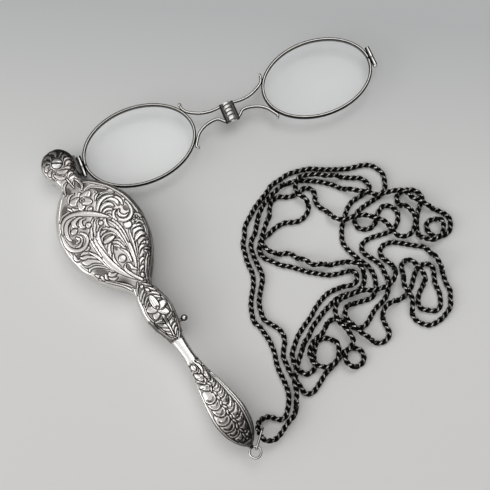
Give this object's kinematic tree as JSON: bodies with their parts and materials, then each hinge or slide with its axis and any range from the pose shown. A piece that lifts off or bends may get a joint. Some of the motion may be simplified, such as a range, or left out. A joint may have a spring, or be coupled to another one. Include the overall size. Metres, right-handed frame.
{
  "type": "folding lorgnette",
  "caption": "Folding lorgnette: an ornate open-sided metal case is the handle, with two oval lenses joined by a folding bridge, a sliding release and a long rope chain on an eye.",
  "frame": {"origin": "on the flat of the back shell, under the middle line of the handle, 36 mm from the pivot screw's axis", "axes": "+Y along the handle towards the pivot, +X to the side the lenses open on, +Z out of the front shell"},
  "size_m": [0.1211, 0.1175, 0.0113],
  "materials": {
    "chased_silver": "silver with dark oxide in the recesses of the chasing",
    "polished_silver": "polished silver",
    "frame_silver": "drawn wire, polished",
    "spring_steel": "plain steel",
    "dark_silver": "oxidised silver",
    "lens_glass": "clear ground glass"
  },
  "bodies": {
    "handle": {"front_shell": "chased_silver", "back_shell": "chased_silver", "side_band": "polished_silver", "front_pivot_plate": "polished_silver", "back_pivot_plate": "polished_silver", "pivot_screw": "spring_steel", "pivot_nut": "spring_steel", "latch_guide": "spring_steel", "spring_seat": "spring_steel", "latch_spring": "spring_steel", "tail_eye": "polished_silver", "oval_link": "polished_silver", "neck_chain": "dark_silver"},
    "release": {"release_latch": "spring_steel", "release_knob": "polished_silver"},
    "near_frame": {"pivot_tongue": "frame_silver", "pivot_spring": "spring_steel", "near_rim": "frame_silver", "near_lens": "lens_glass", "near_upper_tube": "frame_silver", "near_lower_tube": "frame_silver", "near_closing_screw": "spring_steel", "near_upper_arm": "frame_silver", "near_lower_arm": "frame_silver", "near_leaf": "frame_silver", "bridge_pin": "spring_steel", "bridge_spring": "spring_steel"},
    "far_frame": {"far_leaf": "frame_silver", "far_upper_arm": "frame_silver", "far_lower_arm": "frame_silver", "far_rim": "frame_silver", "far_lens": "lens_glass", "far_upper_tube": "frame_silver", "far_lower_tube": "frame_silver", "far_closing_screw": "spring_steel"}
  },
  "joints": [
    {"name": "lens_swing", "type": "hinge", "parent": "handle", "child": "near_frame", "pos_m": [0, 0.036, 0], "axis": [0, 0, -1], "range_deg": [0, 56], "stiffness_Nm_per_rad": 0.002, "springref_deg": -22.92},
    {"name": "bridge_fold", "type": "hinge", "parent": "near_frame", "child": "far_frame", "pos_m": [0.05602, 0.02122, 0.006], "axis": [-0.2215, -0.9751, 0], "range_deg": [0, 180], "stiffness_Nm_per_rad": 0.001, "springref_deg": -34.38},
    {"name": "release_slide", "type": "slide", "parent": "handle", "child": "release", "axis": [0, -1, 0], "range_m": [0, 0.0016], "stiffness_N_per_m": 200, "springref_m": -0.0005, "deforming": ["latch_spring"]}
  ]
}
